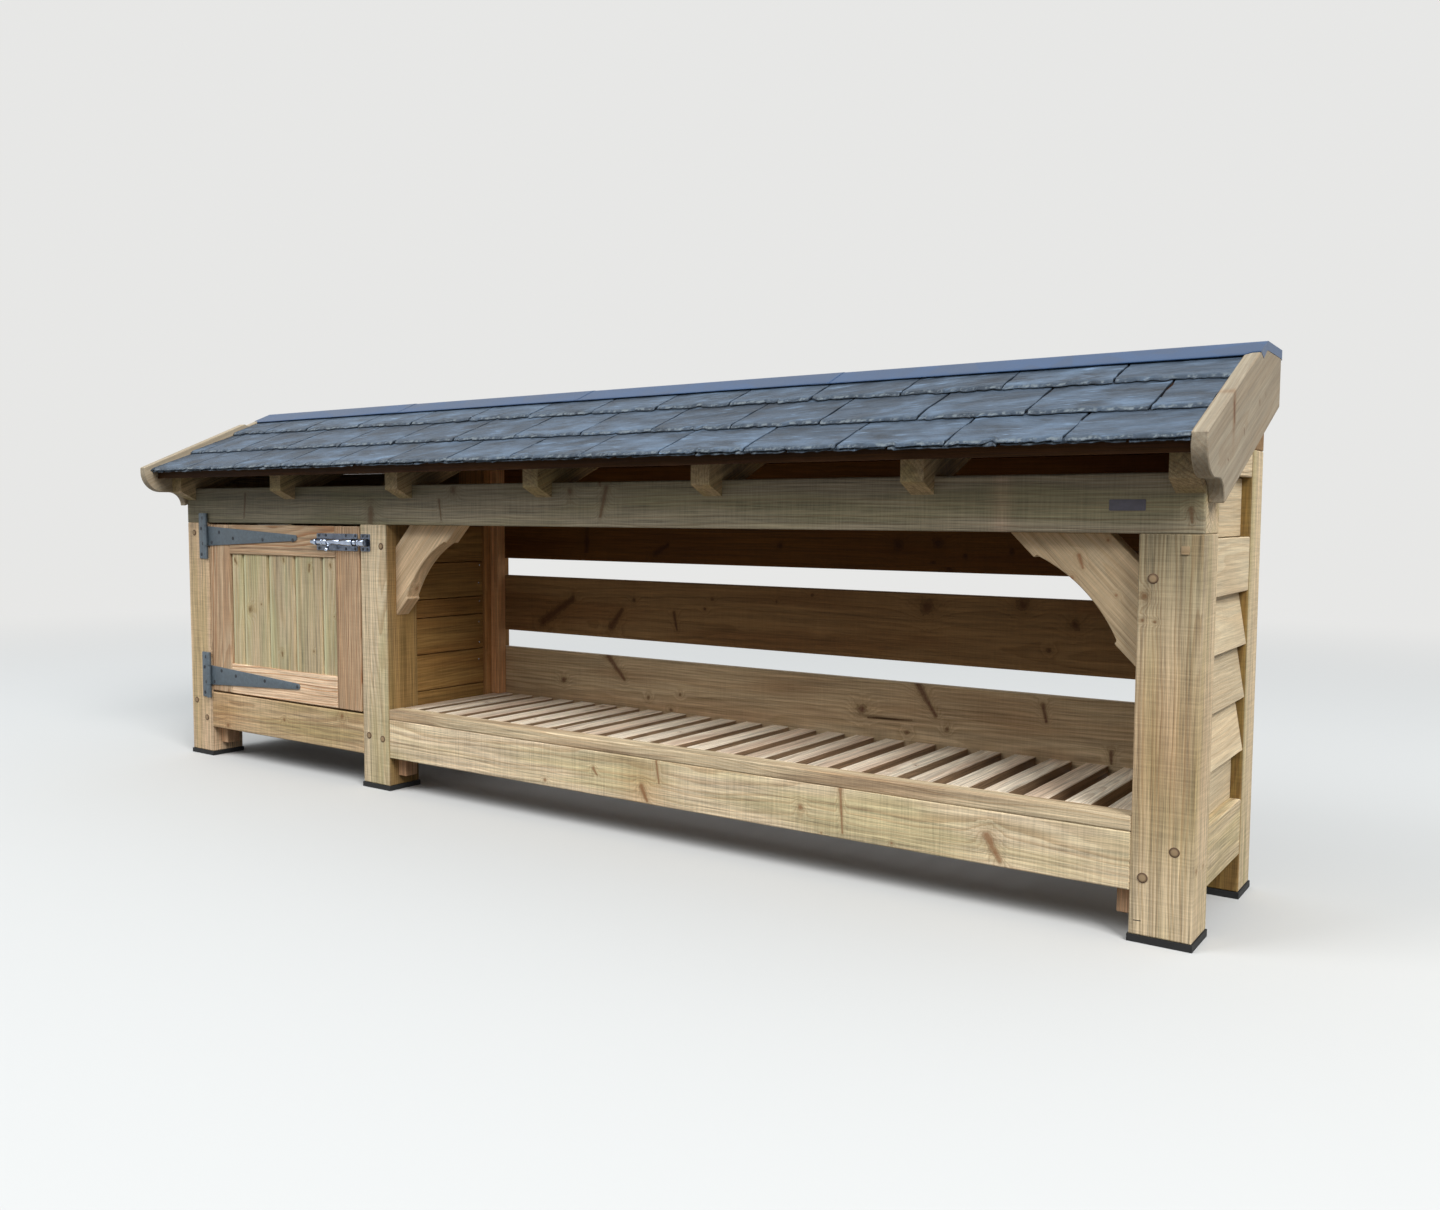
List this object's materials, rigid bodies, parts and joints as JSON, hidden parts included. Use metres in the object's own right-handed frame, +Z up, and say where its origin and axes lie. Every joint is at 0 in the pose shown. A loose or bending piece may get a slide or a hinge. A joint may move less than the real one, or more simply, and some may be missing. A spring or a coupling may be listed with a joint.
{
  "type": "log store",
  "caption": "Timber log store with a slate lean-to roof, an open slatted log bay and a small cupboard with a hinged, bolted door.",
  "frame": {"origin": "on the ground under the middle of the whole store's length and depth", "axes": "+X along the front towards the log bay, -Y out of the front, +Z up"},
  "size_m": [2.854, 0.558, 1.0051],
  "materials": {
    "treated_softwood": "pale green-yellow treated softwood, sawn and planed",
    "pale_softwood": "pale cream planed softwood",
    "door_softwood": "pinkish tan planed softwood",
    "panel_softwood": "green-yellow grooved boards",
    "slat_softwood": "pinkish cream planed battens",
    "slate": "dark blue-grey riven slate, matt",
    "flashing": "smooth blue-grey sheet",
    "galvanised_steel": "dull blue-grey galvanised steel",
    "zinc_steel": "bright zinc-plated steel",
    "rubber_pad": "black rubber"
  },
  "bodies": {
    "store": {"back_board_lower": "treated_softwood", "back_board_middle": "treated_softwood", "back_board_top": "treated_softwood", "back_board_upper": "treated_softwood", "bargeboard_left": "pale_softwood", "bargeboard_right": "pale_softwood", "bay_front_rail": "treated_softwood", "bay_nosing": "treated_softwood", "bolt_keep": "zinc_steel", "brace_left": "pale_softwood", "brace_right": "pale_softwood", "corner_batten": "slat_softwood", "cupboard_back_boards": "treated_softwood", "cupboard_floor": "treated_softwood", "cupboard_front_rail": "treated_softwood", "end_boards_left": "treated_softwood", "end_boards_right": "treated_softwood", "floor_ledgers": "treated_softwood", "floor_slats": "slat_softwood", "front_beam": "treated_softwood", "front_post_left": "treated_softwood", "front_post_middle": "treated_softwood", "front_post_right": "treated_softwood", "gable_board_left": "treated_softwood", "gable_board_right": "treated_softwood", "ledger_cleats": "treated_softwood", "lower_hinge_leaf": "galvanised_steel", "partition_boards": "treated_softwood", "post_pads": "rubber_pad", "rafters": "treated_softwood", "rear_beam": "treated_softwood", "rear_post_left": "treated_softwood", "rear_post_middle": "treated_softwood", "rear_post_right": "treated_softwood", "rear_rails": "treated_softwood", "rear_roof_board": "treated_softwood", "ridge_flashing": "flashing", "roof_deck": "treated_softwood", "side_rails": "treated_softwood", "slates": "slate", "upper_hinge_leaf": "galvanised_steel"},
    "door": {"door_stile_hinge": "door_softwood", "door_stile_latch": "door_softwood", "door_rail_top": "door_softwood", "door_rail_bottom": "door_softwood", "door_panel": "panel_softwood", "upper_hinge_strap": "galvanised_steel", "lower_hinge_strap": "galvanised_steel", "bolt_guide": "zinc_steel"},
    "bolt": {"bolt_bar": "zinc_steel"}
  },
  "joints": [
    {"name": "door_hinge", "type": "hinge", "parent": "store", "child": "door", "pos_m": [-1.302, -0.159, 0.4345], "axis": [0, 0, -1], "range_deg": [0, 170]},
    {"name": "bolt_slide", "type": "slide", "parent": "door", "child": "bolt", "axis": [1, 0, 0], "range_m": [0, 0.034]}
  ]
}
